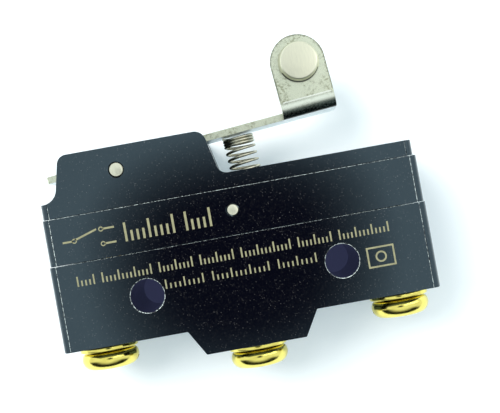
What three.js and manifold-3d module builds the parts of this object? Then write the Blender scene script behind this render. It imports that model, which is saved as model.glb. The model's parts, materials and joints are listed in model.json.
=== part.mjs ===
// A snap-action limit switch with a short hinged roller lever.
//
// Millimetres. The switch lies on its back face. X runs along the body towards the roller, Y towards the
// lever, and Z out of the front face. The origin is on the back face, midway between the mounting holes.
import * as THREE from "three";
import { mergeVertices } from "three/addons/utils/BufferGeometryUtils.js";
import Module from "manifold-3d";

const wasm = await Module();
wasm.setup();

// ---------------------------------------------------------------- driving dimensions

const THICKNESS = 17.45;
const MID = THICKNESS / 2;
const WALL = 2.2; // front and back walls round the mechanism
const END_ROUND = 0.9; // the upright corners of the three mouldings
const FIT = 0.1; // gap between pieces that are assembled and don't move

const BASE = { left: -24.6, right: 24.6, bottom: -5.5, top: 5.7 };
const COVER = { left: -24.45, right: 24.45, top: 11.8, roof: 10.4 };
const SLAB = { left: -24.3, right: 24.1, top: 13.8 }; // the hinge housing's lower part
const BLOCK = { bottom: -8.8, halfTop: 8.43, halfBottom: 6.5 }; // the raised centre terminal block
const CAVITY = { half: 22.3, floor: 2.9 };

const MOUNTING = { pitch: 25.4, radius: 2.2, countersink: 0.25 };
const COVER_PIN = { x: 0, y: 8.95, radius: 0.725, hole: 0.85 };
const PIVOT = { x: -13.85, y: 16.7, radius: 0.91, hole: 1.08 };

const WALL_TOP = 19.7; // the two raised walls that carry the pivot pin
const SLOT = { back: 5.55, front: 11.9 }; // the space between them
const STOP = { left: -21.2, right: -18.4, clearance: 0.06 }; // the block under the lever's tail
const LUG = { thick: 1.2, half: 1.9, baseDepth: WALL + FIT, housingDepth: WALL + 1.6, tip: 7.6 };

const SHEET = 0.92;
const LEVER = {
  tilt: THREE.MathUtils.degToRad(5),
  back: MID - 2.7,
  front: MID + 2.7,
  mid: 1.39, // from the pivot up to the middle of the sheet
  tail: -9.95,
  hingeEar: 2.1,
  hole: 0.925,
};
// The ear that carries the roller: a flap on the strip's front edge, turned up, with a round top.
const EAR = { front: 13.6, along: 26.42, up: 7.74, half: 3.63, bend: 2.05 };
const AXLE = { along: 26.53, up: 7.68, radius: 1.25, head: 2.7, face: 2.32, headHeight: 1.45, tail: 1.9 };
const ROLLER = { radius: 3.4, width: 3.6, bore: 1.3, edge: 0.4, gap: 0.2 };

// The coil stands on the plunger's seat and leans back with the lever.
const SPRING = {
  x: 2.65,
  bottom: 13.2,
  height: 5.6,
  mean: 1.96,
  wire: 0.19,
  lean: 4,
  closedTurns: 3,
  openTurns: 4.7,
};
const PLUNGER = { x: 2.56, radius: 1.5, guide: 1.58, collar: 1.75, seat: 2.2, well: 2.45 };

const POLES = [
  { name: "common", x: -20, seat: BASE.bottom },
  { name: "no", x: 0, seat: BLOCK.bottom },
  { name: "nc", x: 20, seat: BASE.bottom },
];
const BUSH = { radius: 3.2, top: 1.5, flange: 3.9, flangeThick: 0.38, bore: 2.0, neck: 1.4 };
const SCREW = { shank: 1.92, reach: 6, head: 3.9, gap: 1.2, bottom: 3.56 };
const WASHER = { radius: 3.95, thick: 0.56 };

const STRAP = { half: 3, thick: 0.5 };
const CONTACT_X = 16;
const CONTACT = { radius: 1.5, shank: 0.7, hole: 0.76, head: 0.45 };
const BLADE = { bottom: 5.1, thick: 0.3, left: -19.2, right: 17.6, half: 2.9, anchor: -17 };

const SIDES = { pin: 16, hole: 20, round: 24 };

// ---------------------------------------------------------------- solids

// A closed three.js geometry as a manifold-3d solid.
function solid(geometry) {
  const loose = geometry.index ? geometry.toNonIndexed() : geometry.clone();
  for (const name of Object.keys(loose.attributes)) {
    if (name !== "position") loose.deleteAttribute(name);
  }
  const merged = mergeVertices(loose, 1e-4);
  return new wasm.Manifold(
    new wasm.Mesh({
      numProp: 3,
      vertProperties: merged.attributes.position.array,
      triVerts: new Uint32Array(merged.index.array),
    }),
  );
}

// A manifold-3d solid as a three.js geometry with flat faces.
function geometryOf(body) {
  const mesh = body.getMesh();
  const positions = new Float32Array(mesh.numVert * 3);
  for (let i = 0; i < mesh.numVert; i++) {
    const start = i * mesh.numProp;
    positions.set(mesh.vertProperties.subarray(start, start + 3), i * 3);
  }
  const geometry = new THREE.BufferGeometry();
  geometry.setAttribute("position", new THREE.BufferAttribute(positions, 3));
  geometry.setIndex(new THREE.BufferAttribute(mesh.triVerts, 1));
  const flat = geometry.toNonIndexed();
  flat.computeVertexNormals();
  return flat;
}

function join(...bodies) {
  return bodies.reduce((all, body) => all.add(body));
}

function cut(body, ...tools) {
  return tools.reduce((rest, tool) => rest.subtract(tool), body);
}

function box(x, y, z) {
  const geometry = new THREE.BoxGeometry(x[1] - x[0], y[1] - y[0], z[1] - z[0]);
  geometry.translate((x[0] + x[1]) / 2, (y[0] + y[1]) / 2, (z[0] + z[1]) / 2);
  return solid(geometry);
}

// The span of a given half width about a centre.
function around(centre, half) {
  return [centre - half, centre + half];
}

// A box centred on the middle of the switch's thickness.
function midBox(x, y, halfWidth) {
  return box(x, y, [MID - halfWidth, MID + halfWidth]);
}

// A round bar along Z.
function rodZ(radius, x, y, z, sides = SIDES.hole) {
  const geometry = new THREE.CylinderGeometry(radius, radius, z[1] - z[0], sides);
  geometry.rotateX(Math.PI / 2).translate(x, y, (z[0] + z[1]) / 2);
  return solid(geometry);
}

// A round bar along Y, on the middle of the thickness.
function rodY(radius, x, y, sides = SIDES.hole) {
  const geometry = new THREE.CylinderGeometry(radius, radius, y[1] - y[0], sides);
  geometry.translate(x, (y[0] + y[1]) / 2, MID);
  return solid(geometry);
}

// A profile of [radius, height] points turned about Y, listed from the lower end on the axis to the upper.
function turned(points, sides = SIDES.round) {
  return solid(new THREE.LatheGeometry(points.map((p) => new THREE.Vector2(...p)), sides));
}

// A shape in the XY plane as a plate from z[0] to z[1].
function plateZ(shape, z, curveSegments = 6) {
  const options = { depth: z[1] - z[0], bevelEnabled: false, curveSegments };
  return solid(new THREE.ExtrudeGeometry(shape, options).translate(0, 0, z[0]));
}

// A slab between two heights with rounded upright corners, as each moulding has.
function roundedSlab(left, right, y) {
  const shape = new THREE.Shape();
  const r = END_ROUND;
  shape.moveTo(left + r, 0);
  shape.lineTo(right - r, 0);
  shape.absarc(right - r, r, r, -Math.PI / 2, 0);
  shape.absarc(right - r, THICKNESS - r, r, 0, Math.PI / 2);
  shape.absarc(left + r, THICKNESS - r, r, Math.PI / 2, Math.PI);
  shape.absarc(left + r, r, r, Math.PI, Math.PI * 1.5);
  const options = { depth: y[1] - y[0], bevelEnabled: false, curveSegments: 4 };
  const geometry = new THREE.ExtrudeGeometry(shape, options);
  return solid(geometry.rotateX(Math.PI / 2).translate(0, y[1], 0));
}

// The same body on the back and on the front of the middle plane.
function bothSides(make) {
  return join(make(), make().mirror([0, 0, 1]).translate([0, 0, THICKNESS]));
}

// ---------------------------------------------------------------- the three mouldings

function baseCase() {
  const slab = roundedSlab(BASE.left, BASE.right, [BASE.bottom, BASE.top]);
  const trapezoid = new THREE.Shape();
  trapezoid.moveTo(-BLOCK.halfBottom, BLOCK.bottom);
  trapezoid.lineTo(BLOCK.halfBottom, BLOCK.bottom);
  trapezoid.lineTo(BLOCK.halfTop, BASE.bottom);
  trapezoid.lineTo(BLOCK.halfTop, BASE.bottom + 1);
  trapezoid.lineTo(-BLOCK.halfTop, BASE.bottom + 1);
  trapezoid.lineTo(-BLOCK.halfTop, BASE.bottom);
  const depth = LUG.baseDepth;
  const lugs = bothSides(() =>
    join(
      box([-LUG.half, LUG.half], [CAVITY.floor, BASE.top], [WALL - 0.2, depth + LUG.thick]),
      box([-LUG.half, LUG.half], [BASE.top - FIT, COVER.roof - 0.3], [depth, depth + LUG.thick]),
    ),
  );
  const whole = join(slab, plateZ(trapezoid, [0, THICKNESS]));
  const hollow = midBox([-CAVITY.half, CAVITY.half], [CAVITY.floor, BASE.top + 1], MID - WALL);
  const holes = [-1, 1].map((side) => mountingHole((side * MOUNTING.pitch) / 2));
  const pockets = POLES.map((pole) =>
    join(
      rodY(BUSH.radius + FIT, pole.x, [pole.seat - 1, BUSH.top + FIT]),
      midBox(around(pole.x, BUSH.neck + FIT), [BUSH.top, CAVITY.floor + 1], BUSH.neck + FIT),
    ),
  );
  return cut(join(cut(whole, hollow), lugs), ...holes, ...pockets, pinHole());
}

// A mounting hole with a small chamfer at both faces.
function mountingHole(x) {
  const { radius: r, countersink: c } = MOUNTING;
  const over = 1;
  const profile = [
    [0, -over],
    [r + c + over, -over],
    [r, c],
    [r, THICKNESS - c],
    [r + c + over, THICKNESS + over],
    [0, THICKNESS + over],
  ];
  const points = profile.map((p) => new THREE.Vector2(...p));
  return solid(new THREE.LatheGeometry(points, SIDES.hole).rotateX(Math.PI / 2).translate(x, 0, 0));
}

function pinHole() {
  return rodZ(COVER_PIN.hole, COVER_PIN.x, COVER_PIN.y, [-1, THICKNESS + 1]);
}

function coverCase() {
  const shell = roundedSlab(COVER.left, COVER.right, [BASE.top, COVER.top]);
  const hollow = midBox([-CAVITY.half, CAVITY.half], [BASE.top - 1, COVER.roof], MID - WALL);
  const guide = rodY(PLUNGER.guide, PLUNGER.x, [COVER.roof - 1, COVER.top + 1]);
  const lugSlots = bothSides(() =>
    box(
      [-LUG.half - FIT, LUG.half + FIT],
      [COVER.roof - 1, COVER.top + 1],
      [LUG.housingDepth - FIT, LUG.housingDepth + LUG.thick + FIT],
    ),
  );
  return cut(shell, hollow, guide, lugSlots, pinHole());
}

// The outline of a raised wall, from its concave foot at the left over the top to its foot at the right.
function wallOutline() {
  const foot = { left: -23.5, right: 0.3, y: SLAB.top - 1 };
  const left = { base: [-22.1, 14.2], low: [-21.9, 15.6], high: [-21.15, 18.6], corner: [-20.95, WALL_TOP] };
  const right = { corner: [-2.15, WALL_TOP], high: [-1.85, 18.5], low: [-1.1, 15.2], base: [-0.8, SLAB.top] };
  const shape = new THREE.Shape();
  shape.moveTo(foot.left, foot.y);
  shape.lineTo(foot.left, SLAB.top);
  shape.quadraticCurveTo(...left.base, ...left.low);
  shape.lineTo(...left.high);
  shape.quadraticCurveTo(...left.corner, -19.8, WALL_TOP);
  shape.lineTo(-3.8, WALL_TOP);
  shape.quadraticCurveTo(...right.corner, ...right.high);
  shape.lineTo(...right.low);
  shape.quadraticCurveTo(...right.base, foot.right, SLAB.top);
  shape.lineTo(foot.right, foot.y);
  return shape;
}

// The block between the walls that the lever's tail rests on, its top sloped like the lever.
function tailStop() {
  const { left, right, clearance } = STOP;
  const overPivot = (LEVER.mid - SHEET / 2) / Math.cos(LEVER.tilt);
  const underside = (x) => PIVOT.y + overPivot + (x - PIVOT.x) * Math.tan(LEVER.tilt);
  const shape = new THREE.Shape();
  shape.moveTo(left, SLAB.top - 1);
  shape.lineTo(right, SLAB.top - 1);
  shape.lineTo(right, underside(right) - clearance);
  shape.lineTo(left, underside(left) - clearance);
  return plateZ(shape, [SLOT.back - 1, SLOT.front + 1]);
}

function hingeHousing() {
  const slab = roundedSlab(SLAB.left, SLAB.right, [COVER.top, SLAB.top]);
  const outline = wallOutline();
  const walls = join(plateZ(outline, [0, SLOT.back]), plateZ(outline, [SLOT.front, THICKNESS]));
  const depth = LUG.housingDepth;
  const lugs = bothSides(() =>
    box([-LUG.half, LUG.half], [LUG.tip, COVER.top + 0.5], [depth, depth + LUG.thick]),
  );
  const pivotHole = rodZ(PIVOT.hole, PIVOT.x, PIVOT.y, [-1, THICKNESS + 1]);
  const well = rodY(PLUNGER.well, PLUNGER.x, [COVER.top - 1, SLAB.top + 1]);
  return cut(join(slab, walls, lugs, tailStop()), pivotHole, well, pinHole());
}

// ---------------------------------------------------------------- pins

const coverPin = () => rodZ(COVER_PIN.radius, COVER_PIN.x, COVER_PIN.y, [0.1, THICKNESS - 0.1], SIDES.pin);
const pivotPin = () => rodZ(PIVOT.radius, PIVOT.x, PIVOT.y, [0.15, THICKNESS - 0.15], SIDES.pin);

// ---------------------------------------------------------------- the lever, in its own frame
// Here x runs along the lever from the pivot, and y is square to the sheet.

const SHEET_LOW = LEVER.mid - SHEET / 2;
const SHEET_HIGH = LEVER.mid + SHEET / 2;

// The roller ear: the strip's end, widened at the front, turned up round the bend.
function rollerEar() {
  const { front, along, up, half, bend } = EAR;
  const inner = bend - SHEET;
  const centre = { z: front - bend, y: SHEET_LOW + bend };
  const top = up + half;
  // The section's first coordinate is -z, because turning it to face along X flips that one.
  const section = new THREE.Shape();
  section.moveTo(-LEVER.back, SHEET_LOW);
  section.lineTo(-LEVER.back, SHEET_HIGH);
  section.lineTo(-centre.z, SHEET_HIGH);
  section.absarc(-centre.z, centre.y, inner, -Math.PI / 2, -Math.PI, true);
  section.lineTo(-front + SHEET, top);
  section.lineTo(-front, top);
  section.lineTo(-front, centre.y);
  section.absarc(-centre.z, centre.y, bend, -Math.PI, -Math.PI / 2, false);
  const options = { depth: 2 * half, bevelEnabled: false, curveSegments: 6 };
  const upright = new THREE.ExtrudeGeometry(section, options).rotateY(Math.PI / 2);
  const strip = solid(upright.translate(along - half, 0, 0));
  const outline = new THREE.Shape();
  outline.moveTo(along - half, 0);
  outline.lineTo(along + half, 0);
  outline.absarc(along, up, half, 0, Math.PI);
  return strip.intersect(plateZ(outline, [0, THICKNESS], 16));
}

// The two ears that hang down round the pivot pin.
function hingeEars() {
  const r = LEVER.hingeEar;
  const shape = new THREE.Shape();
  shape.moveTo(r, SHEET_HIGH);
  shape.lineTo(-r, SHEET_HIGH);
  shape.absarc(0, 0, r, Math.PI, Math.PI * 2);
  const back = plateZ(shape, [LEVER.back, LEVER.back + SHEET]);
  const front = plateZ(shape, [LEVER.front - SHEET, LEVER.front]);
  return join(back, front);
}

function leverBody() {
  const end = EAR.along - EAR.half + 0.5;
  const strip = box([LEVER.tail, end], [SHEET_LOW, SHEET_HIGH], [LEVER.back, LEVER.front]);
  const pivotHole = rodZ(LEVER.hole, 0, 0, [0, THICKNESS]);
  const axleHole = rodZ(AXLE.radius + FIT / 2, AXLE.along, AXLE.up, [EAR.front - 2, THICKNESS]);
  return cut(join(strip, rollerEar(), hingeEars()), pivotHole, axleHole);
}

const ROLLER_FRONT = EAR.front - SHEET - ROLLER.gap;
const ROLLER_BACK = ROLLER_FRONT - ROLLER.width;

function rollerBody() {
  const { radius, bore, edge } = ROLLER;
  const profile = [
    [bore, ROLLER_BACK],
    [radius - edge, ROLLER_BACK],
    [radius, ROLLER_BACK + edge],
    [radius, ROLLER_FRONT - edge],
    [radius - edge, ROLLER_FRONT],
    [bore, ROLLER_FRONT],
    [bore, ROLLER_BACK],
  ];
  const geometry = new THREE.LatheGeometry(profile.map((p) => new THREE.Vector2(...p)), SIDES.round);
  return solid(geometry.rotateX(Math.PI / 2));
}

// The axle lies along Z in its own frame: a tall tapered head in front of the ear, a shank through it and
// the roller, and a riveted tail behind.
function axleBody() {
  const { radius, head, face, headHeight, tail } = AXLE;
  const seat = EAR.front + 0.02;
  const rim = 0.3; // the upright part at the foot of the head
  const edge = 0.1;
  const tailSeat = ROLLER_BACK - 0.1;
  const tailHeight = 0.6;
  const profile = [
    [0, tailSeat - tailHeight],
    [tail - tailHeight / 2, tailSeat - tailHeight],
    [tail, tailSeat - tailHeight / 2],
    [tail, tailSeat],
    [radius, tailSeat],
    [radius, seat],
    [head, seat],
    [head, seat + rim],
    [face + edge, seat + headHeight - edge],
    [face, seat + headHeight],
    [0, seat + headHeight],
  ];
  const geometry = new THREE.LatheGeometry(profile.map((p) => new THREE.Vector2(...p)), SIDES.hole);
  return solid(geometry.rotateX(Math.PI / 2));
}

// ---------------------------------------------------------------- the return spring

// A right-handed coil about Y, open below and closed at the top, where it ends at the left.
class CoilCurve extends THREE.Curve {
  getPoint(t, target = new THREE.Vector3()) {
    const { height, mean, wire, closedTurns, openTurns } = SPRING;
    const closedPitch = wire * 2 + 0.02;
    const closedStart = height - closedTurns * closedPitch;
    const turn = t * (openTurns + closedTurns);
    const open = Math.min(turn / openTurns, 1);
    const closed = Math.max(turn - openTurns, 0);
    const y = closedStart * open + closed * closedPitch;
    const angle = (turn - openTurns - closedTurns + 0.5) * Math.PI * 2;
    return target.set(mean * Math.cos(angle), y, -mean * Math.sin(angle));
  }
}

function springBody() {
  const section = new THREE.Shape();
  section.absarc(0, 0, SPRING.wire, 0, Math.PI * 2);
  const steps = Math.round((SPRING.openTurns + SPRING.closedTurns) * 12);
  const options = { steps, curveSegments: 3, bevelEnabled: false, extrudePath: new CoilCurve() };
  const coil = new THREE.ExtrudeGeometry(section, options);
  coil.rotateZ(THREE.MathUtils.degToRad(SPRING.lean));
  return solid(coil.translate(SPRING.x, SPRING.bottom, MID));
}

// ---------------------------------------------------------------- the plunger

function plungerBody() {
  const tip = BLADE.bottom + BLADE.thick + 0.12;
  const { radius, collar, seat } = PLUNGER;
  const profile = [
    [0, tip],
    [radius - 0.4, tip],
    [radius, tip + 0.5],
    [radius, COVER.roof - 0.6],
    [collar, COVER.roof - 0.6],
    [collar, COVER.roof - 0.1],
    [radius, COVER.roof - 0.1],
    [radius, COVER.top + 0.6],
    [seat, COVER.top + 0.6],
    [seat, COVER.top + 1],
    [radius, COVER.top + 1],
    [radius - 0.1, SLAB.top - 0.4],
    [0, SLAB.top - 0.4],
  ];
  return turned(profile, SIDES.hole).translate([PLUNGER.x, 0, MID]);
}

// ---------------------------------------------------------------- terminals and contacts

// The threaded bush of a terminal: flange under the seat, barrel in the base, neck up to the cavity floor.
function bush(pole) {
  const barrel = rodY(BUSH.radius, pole.x, [pole.seat - 0.1, BUSH.top]);
  const flange = rodY(BUSH.flange, pole.x, [pole.seat - BUSH.flangeThick, pole.seat - 0.03], SIDES.round);
  const neck = midBox(around(pole.x, BUSH.neck), [BUSH.top - 0.5, STRAP_LOW + 0.2], BUSH.neck);
  const thread = rodY(BUSH.bore, pole.x, [pole.seat - 2, BUSH.top - 0.6]);
  return cut(join(barrel, flange, neck), thread);
}

const STRAP_LOW = CAVITY.floor + 0.05;
const STRAP_HIGH = STRAP_LOW + STRAP.thick;

const MOVING_LOW = BLADE.bottom - 0.03 - CONTACT.head;
const MOVING_HIGH = BLADE.bottom + BLADE.thick + 0.03 + CONTACT.head;
const NC_FACE = MOVING_HIGH + 0.03;
const NC_STRAP = NC_FACE + CONTACT.head + 0.03;

// The common terminal's strap carries the pedestal that the blade is riveted to.
function commonTerminal() {
  const strap = midBox([-21.9, -15], [STRAP_LOW, STRAP_HIGH], STRAP.half);
  const pedestal = midBox([-19.2, -15.2], [STRAP_LOW, BLADE.bottom - 0.1], STRAP.half);
  const hole = rodY(CONTACT.hole, BLADE.anchor, [STRAP_HIGH, BLADE.bottom + 1]);
  return cut(join(bush(POLES[0]), strap, pedestal), hole);
}

// The normally open terminal's strap runs along the cavity floor to under the moving contact.
function normallyOpenTerminal() {
  const strap = midBox([-3, 17.5], [STRAP_LOW, STRAP_HIGH], STRAP.half);
  const hole = rodY(CONTACT.hole, CONTACT_X, [STRAP_LOW - 1, STRAP_HIGH + 1]);
  return cut(join(bush(POLES[1]), strap), hole);
}

// The normally closed terminal's strap climbs the end wall and comes back over the moving contact.
function normallyClosedTerminal() {
  const wall = 22;
  const foot = midBox([18.1, wall], [STRAP_LOW, STRAP_HIGH], STRAP.half);
  const riser = midBox([wall - STRAP.thick, wall], [STRAP_LOW, NC_STRAP + STRAP.thick], STRAP.half);
  const arm = midBox([CONTACT_X - 2, wall], [NC_STRAP, NC_STRAP + STRAP.thick], STRAP.half);
  const hole = rodY(CONTACT.hole, CONTACT_X, [NC_STRAP - 1, NC_STRAP + 1]);
  return cut(join(bush(POLES[2]), foot, riser, arm), hole);
}

// A contact button: a round head on a shank that is riveted through its strap.
function contactButton(headY, shankY) {
  const { radius, shank } = CONTACT;
  return join(rodY(radius, CONTACT_X, headY), rodY(shank, CONTACT_X, shankY, SIDES.pin));
}

function fixedContactNo() {
  const seat = STRAP_HIGH + 0.03;
  return contactButton([seat, seat + CONTACT.head], [STRAP_LOW, seat + 0.1]);
}

function fixedContactNc() {
  return contactButton([NC_FACE, NC_FACE + CONTACT.head], [NC_FACE + 0.1, NC_STRAP + STRAP.thick]);
}

function movingContact() {
  const lower = rodY(CONTACT.radius, CONTACT_X, [MOVING_LOW, MOVING_LOW + CONTACT.head]);
  const upper = rodY(CONTACT.radius, CONTACT_X, [MOVING_HIGH - CONTACT.head, MOVING_HIGH]);
  const shank = rodY(CONTACT.shank, CONTACT_X, [MOVING_LOW + 0.1, MOVING_HIGH - 0.1], SIDES.pin);
  return join(lower, upper, shank);
}

// The moving blade: a flat strip with a window, and a bowed tongue across the window that makes it snap.
function snapBlade() {
  const { bottom, thick, left, right, half, anchor } = BLADE;
  const strip = midBox([left, right], [bottom, bottom + thick], half);
  const window = midBox([-13.6, -4.6], [bottom - 1, bottom + 1], 1.7);
  const tongue = new THREE.Shape();
  tongue.moveTo(-14.2, bottom);
  tongue.quadraticCurveTo(-9.1, bottom + 3.4, -4, bottom);
  tongue.lineTo(-4, bottom + thick);
  tongue.quadraticCurveTo(-9.1, bottom + 3.4 + thick, -14.2, bottom + thick);
  const bow = plateZ(tongue, [MID - 1.2, MID + 1.2]);
  const holes = [anchor, CONTACT_X].map((x) => rodY(CONTACT.hole, x, [bottom - 1, bottom + 1]));
  return cut(join(cut(strip, window), bow), ...holes);
}

function bladeRivet() {
  const headLow = BLADE.bottom + BLADE.thick + 0.1;
  const head = rodY(1.4, BLADE.anchor, [headLow, headLow + 0.6]);
  const shank = rodY(CONTACT.shank, BLADE.anchor, [STRAP_HIGH + 0.1, headLow + 0.1], SIDES.pin);
  return join(head, shank);
}

// ---------------------------------------------------------------- screws and washers

// A round head, bulging at the side, with a screwdriver slot across its underside.
function screwBody(pole) {
  const { shank, reach, head, gap, bottom } = SCREW;
  const slot = { half: 0.6, depth: 1.1 };
  const profile = [
    [0, -bottom],
    [head - 1.2, -bottom],
    [head - 0.45, -bottom + 0.35],
    [head - 0.05, -bottom + 0.95],
    [head, -bottom + 1.4],
    [head - 0.12, -gap - 0.42],
    [head - 0.5, -gap],
    [shank, -gap],
    [shank, reach],
    [0, reach],
  ];
  const driver = midBox([-head - 1, head + 1], [-bottom - 1, -bottom + slot.depth], slot.half);
  return cut(turned(profile).translate([0, 0, MID]), driver).translate([pole.x, pole.seat, 0]);
}

function washerBody(pole) {
  const top = pole.seat - BUSH.flangeThick - FIT;
  const y = [top - WASHER.thick, top];
  const hole = rodY(BUSH.bore + FIT, pole.x, [y[0] - 1, y[1] + 1]);
  return cut(rodY(WASHER.radius, pole.x, y, SIDES.round), hole);
}

// ---------------------------------------------------------------- the assembly

const finish = (color, roughness, metalness) => ({ color, roughness, metalness });
const PHENOLIC = finish(0x1b1a22, 0.35, 0);
const STEEL = finish(0xb5b3a2, 0.35, 1);
const ZINC = finish(0xc9c2b0, 0.4, 1);
const BRASS = finish(0xd9b64a, 0.25, 1);
const SILVER = finish(0xd8d6cf, 0.3, 1);
const COPPER = finish(0xb9824c, 0.35, 1);

function piece(name, body, look) {
  const mesh = new THREE.Mesh(geometryOf(body), new THREE.MeshStandardMaterial(look));
  mesh.name = name;
  return mesh;
}

const limitSwitch = new THREE.Group();
limitSwitch.add(
  piece("base_case", baseCase(), PHENOLIC),
  piece("cover_case", coverCase(), PHENOLIC),
  piece("hinge_housing", hingeHousing(), PHENOLIC),
  piece("cover_pin", coverPin(), STEEL),
  piece("pivot_pin", pivotPin(), STEEL),
  piece("return_spring", springBody(), STEEL),
  piece("plunger", plungerBody(), PHENOLIC),
  piece("terminal_common", commonTerminal(), BRASS),
  piece("terminal_no", normallyOpenTerminal(), BRASS),
  piece("terminal_nc", normallyClosedTerminal(), BRASS),
  piece("snap_blade", snapBlade(), COPPER),
  piece("blade_rivet", bladeRivet(), BRASS),
  piece("moving_contact", movingContact(), SILVER),
  piece("fixed_contact_no", fixedContactNo(), SILVER),
  piece("fixed_contact_nc", fixedContactNc(), SILVER),
);
for (const pole of POLES) {
  limitSwitch.add(
    piece("screw_" + pole.name, screwBody(pole), BRASS),
    piece("washer_" + pole.name, washerBody(pole), BRASS),
  );
}

// The lever, its axle and the roller, turned together about the pivot pin.
const lever = new THREE.Group();
lever.position.set(PIVOT.x, PIVOT.y, 0);
lever.rotation.z = LEVER.tilt;
lever.add(piece("roller_lever", leverBody(), ZINC));

const wheel = new THREE.Group();
wheel.position.set(AXLE.along, AXLE.up, 0);
wheel.add(piece("roller", rollerBody(), STEEL), piece("roller_axle", axleBody(), STEEL));
lever.add(wheel);
limitSwitch.add(lever);

export default limitSwitch;
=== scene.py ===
"""The looks of a snap-action limit switch with a short hinged roller lever, built round its CAD frame."""

import json
import math

import bmesh
import bpy
from mathutils import Matrix, Vector


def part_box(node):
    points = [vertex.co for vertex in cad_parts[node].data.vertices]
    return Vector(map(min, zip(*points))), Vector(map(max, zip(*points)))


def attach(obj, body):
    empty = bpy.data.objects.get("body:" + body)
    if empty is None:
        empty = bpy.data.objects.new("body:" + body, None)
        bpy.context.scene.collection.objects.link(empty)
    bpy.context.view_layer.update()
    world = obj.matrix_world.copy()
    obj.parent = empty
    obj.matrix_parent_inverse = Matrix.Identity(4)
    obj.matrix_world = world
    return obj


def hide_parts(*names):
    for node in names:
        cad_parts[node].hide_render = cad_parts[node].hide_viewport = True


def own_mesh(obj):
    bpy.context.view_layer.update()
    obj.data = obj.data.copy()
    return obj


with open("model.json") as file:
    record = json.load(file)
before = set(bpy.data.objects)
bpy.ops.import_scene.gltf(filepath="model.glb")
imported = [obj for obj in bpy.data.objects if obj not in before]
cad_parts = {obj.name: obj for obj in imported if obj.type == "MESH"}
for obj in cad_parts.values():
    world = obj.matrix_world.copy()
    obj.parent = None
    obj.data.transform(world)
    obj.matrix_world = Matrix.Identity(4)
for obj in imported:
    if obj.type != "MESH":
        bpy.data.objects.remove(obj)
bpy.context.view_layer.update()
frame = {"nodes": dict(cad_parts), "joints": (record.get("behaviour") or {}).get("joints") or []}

# Shapes are built in millimetres and scaled to metres when they are done.
MM = 0.001

# ---------------------------------------------------------------- places and sizes, from the frame


def box_mm(node):
    low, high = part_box(node)
    return [v / MM for v in low], [v / MM for v in high]


def joint_mm(name):
    joint = next(j for j in frame["joints"] if j["name"] == name)
    return [v / MM for v in joint["pos_m"]]


BASE_LOW, BASE_HIGH = box_mm("base_case")
COVER_LOW, COVER_HIGH = box_mm("cover_case")
HOUSING_LOW, HOUSING_HIGH = box_mm("hinge_housing")
MID = BASE_HIGH[2] / 2
INK_HEIGHT = 0.012
THICK = BASE_HIGH[2] - INK_HEIGHT  # the skin of the front face, just under the printed marks
PIVOT = joint_mm("lever_hinge")
AXLE = joint_mm("roller_spin")
SPLIT = COVER_LOW[1]  # where the base meets the cover
COVER_TOP = 11.8
COVER_ROOF = 10.4
BASE_SEAT = -5.5
BLOCK_SEAT = BASE_LOW[1]
SLAB_TOP = 13.8
SEAM = 0.03  # half the gap between two mouldings

END_ROUND = 0.9  # radius of the upright corners in plan
MOULD_EDGE = 0.14
WALL = 2.2
CAVITY_HALF = 22.3
CAVITY_FLOOR = 2.9

HOLE_X = 12.7
HOLE_RADIUS = 2.2
HOLE_CHAMFER = 0.08

LUG_HALF = 1.9
LUG_THICK = 1.2
CROSS_PIN = (0, 8.95)
CROSS_PIN_RADIUS = 0.725
CROSS_HOLE_RADIUS = 0.83
PIVOT_PIN_RADIUS = 0.91
PIVOT_HOLE_RADIUS = 1.0

# The lever's sizes are in its own frame: along and up from the pivot, before its tilt.
TILT = math.radians(5)
SHEET = 0.92
SHEET_MIDDLE = 1.39
SHEET_LOW = SHEET_MIDDLE - SHEET / 2
SHEET_HIGH = SHEET_MIDDLE + SHEET / 2
LEVER_BACK = MID - 2.7
LEVER_FRONT = MID + 2.7
LEVER_TAIL = -9.95
EAR_FRONT = 13.6
EAR_ALONG = 26.42
EAR_UP = 7.74
EAR_HALF = 3.63
EAR_BEND = 2.05
AXLE_ALONG = 26.53
AXLE_UP = 7.68
AXLE_RADIUS = 1.25
AXLE_BORE = 1.3
HINGE_EAR = 2.1
HINGE_EAR_BORE = 0.925
SLOT = (5.55, 11.9)  # the depths between which the hinge housing is open for the lever

SPRING_X = 2.65
SPRING_BOTTOM = 13.2
SPRING_HEIGHT = 5.6
SPRING_MEAN = 1.96
SPRING_WIRE = 0.19
SPRING_LEAN = math.radians(4)

PLUNGER_X = 2.56
PLUNGER_GUIDE = 1.58
# Each terminal screw's place along the body and the height of its seat.
POLES = {"common": (-20, BASE_SEAT), "no": (0, BLOCK_SEAT), "nc": (20, BASE_SEAT)}

# ---------------------------------------------------------------- meshes


def add_object(name, mesh):
    obj = bpy.data.objects.new(name, mesh)
    bpy.context.scene.collection.objects.link(obj)
    return obj


def from_faces(name, points, faces):
    mesh = bpy.data.meshes.new(name)
    mesh.from_pydata(points, [], faces)
    mesh.validate()
    mesh.update()
    return add_object(name, mesh)


def rounded(corners, steps=8):
    """An outline from (x, y, radius) corners. A corner with a radius becomes a tangent arc."""
    points = []
    for i, (x, y, radius) in enumerate(corners):
        here = Vector((x, y))
        if not radius:
            points.append(here)
            continue
        before = (Vector(corners[i - 1][:2]) - here).normalized()
        after = (Vector(corners[(i + 1) % len(corners)][:2]) - here).normalized()
        half = before.angle(after) / 2
        centre = here + (before + after).normalized() * (radius / math.sin(half))
        start = here + before * (radius / math.tan(half)) - centre
        end = here + after * (radius / math.tan(half)) - centre
        first = math.atan2(start.y, start.x)
        turn = math.atan2(end.y, end.x) - first
        turn = (turn + math.pi) % (2 * math.pi) - math.pi
        for k in range(steps + 1):
            angle = first + turn * k / steps
            points.append(centre + radius * Vector((math.cos(angle), math.sin(angle))))
    return points


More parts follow.
